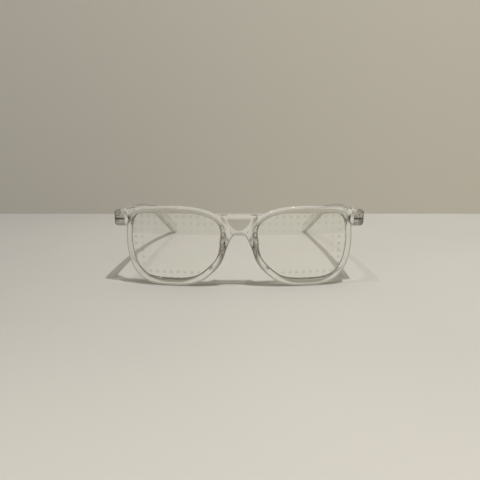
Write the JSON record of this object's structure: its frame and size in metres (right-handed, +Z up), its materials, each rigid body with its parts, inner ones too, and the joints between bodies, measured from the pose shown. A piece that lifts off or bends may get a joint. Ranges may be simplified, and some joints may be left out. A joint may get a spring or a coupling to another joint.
{
  "type": "diffraction glasses",
  "caption": "Clear moulded glasses with bent panes that carry a light-splitting grating film, and two folding temples on small metal hinges.",
  "frame": {"origin": "middle of the open glasses' outline on the surface that they stand on, under the rims and the temples' tips", "axes": "+Z up, the front faces -Y, the temples run back along +Y, +X is the wearer's left"},
  "size_m": [0.146, 0.1553, 0.0471],
  "materials": {
    "clear_front": "clear, colourless, polished moulding",
    "clear_temple": "clear, colourless, polished moulding",
    "clear_pane": "thin clear sheet, polished",
    "grating_film": "thin film with a fine grating, faint pastel sheen",
    "hinge_steel": "plain stamped metal, slightly dull",
    "screw_steel": "bright plated steel"
  },
  "bodies": {
    "front": {"front_frame": "clear_front", "lens_pane_left": "clear_pane", "lens_pane_right": "clear_pane", "grating_film_left": "grating_film", "grating_film_right": "grating_film", "front_hinge_left": "hinge_steel", "front_hinge_right": "hinge_steel", "hinge_screw_left": "screw_steel", "hinge_screw_right": "screw_steel"},
    "left_temple": {"temple_left": "clear_temple", "temple_hinge_left": "hinge_steel"},
    "right_temple": {"temple_right": "clear_temple", "temple_hinge_right": "hinge_steel"}
  },
  "joints": [
    {"name": "left_temple_fold", "type": "hinge", "parent": "front", "child": "left_temple", "pos_m": [0.0681, -0.06174, 0.0373], "axis": [0, 0, 1], "range_deg": [0, 86]},
    {"name": "right_temple_fold", "type": "hinge", "parent": "front", "child": "right_temple", "pos_m": [-0.0681, -0.06174, 0.0373], "axis": [0, 0, -1], "range_deg": [0, 81]}
  ]
}
